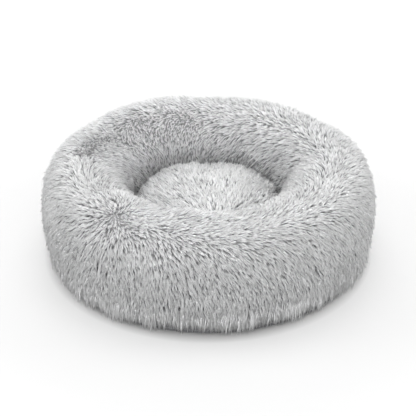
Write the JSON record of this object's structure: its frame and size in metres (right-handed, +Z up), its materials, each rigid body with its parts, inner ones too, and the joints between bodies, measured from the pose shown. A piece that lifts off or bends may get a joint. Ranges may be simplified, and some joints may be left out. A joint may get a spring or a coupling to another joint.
{
  "type": "pet cushion bed",
  "caption": "Round plush pet bed: a stuffed bolster ring in long-pile fur around a loose round cushion, on a cloth base with a zip at the back.",
  "frame": {"origin": "middle of the underside of the base cloth, where the bed rests on the floor", "axes": "+Z up through the middle of the nest, front towards -Y, the zip at the back towards +Y"},
  "size_m": [0.59, 0.59, 0.19],
  "materials": {
    "plush_fur": "long-pile polyester plush, matt with a soft sheen",
    "liner_cloth": "plain non-woven lining",
    "polyester_fibre": "loose polyester fibre filling",
    "base_fabric": "plain woven polyester with grip dots underneath",
    "gusset_fabric": "plain woven polyester",
    "label_satin": "blank satin ribbon",
    "zip_tape_cloth": "woven zip tape",
    "zip_nylon": "nylon coil",
    "zip_metal": "nickel-coloured zinc alloy"
  },
  "bodies": {
    "bolster": {"bolster_panel_back": "plush_fur", "bolster_panel_left": "plush_fur", "bolster_panel_front": "plush_fur", "bolster_panel_right": "plush_fur", "bolster_liner": "liner_cloth", "bolster_filling": "polyester_fibre", "base_cloth": "base_fabric", "base_gusset": "gusset_fabric", "care_label": "label_satin", "zip_tape_upper": "zip_tape_cloth", "zip_tape_lower": "zip_tape_cloth", "zip_coil": "zip_nylon", "zip_stop_closed": "zip_metal", "zip_stop_open": "zip_metal"},
    "cushion": {"cushion_top_cover": "plush_fur", "cushion_base_cover": "base_fabric", "cushion_filling": "polyester_fibre"},
    "slider": {"zip_slider": "zip_metal"},
    "pull_tab": {"zip_pull_tab": "zip_metal"}
  },
  "joints": [
    {"name": "cushion_lift", "type": "slide", "parent": "bolster", "child": "cushion", "axis": [0, 0, 1], "range_m": [0, 0.22]},
    {"name": "zip_travel", "type": "hinge", "parent": "bolster", "child": "slider", "pos_m": [0, 0, 0.0168], "axis": [0, 0, 1], "range_deg": [-87, 0]},
    {"name": "pull_swing", "type": "hinge", "parent": "slider", "child": "pull_tab", "pos_m": [-0.19015, 0.19894, 0.0168], "axis": [0, 0, 1], "range_deg": [0, 165]}
  ]
}
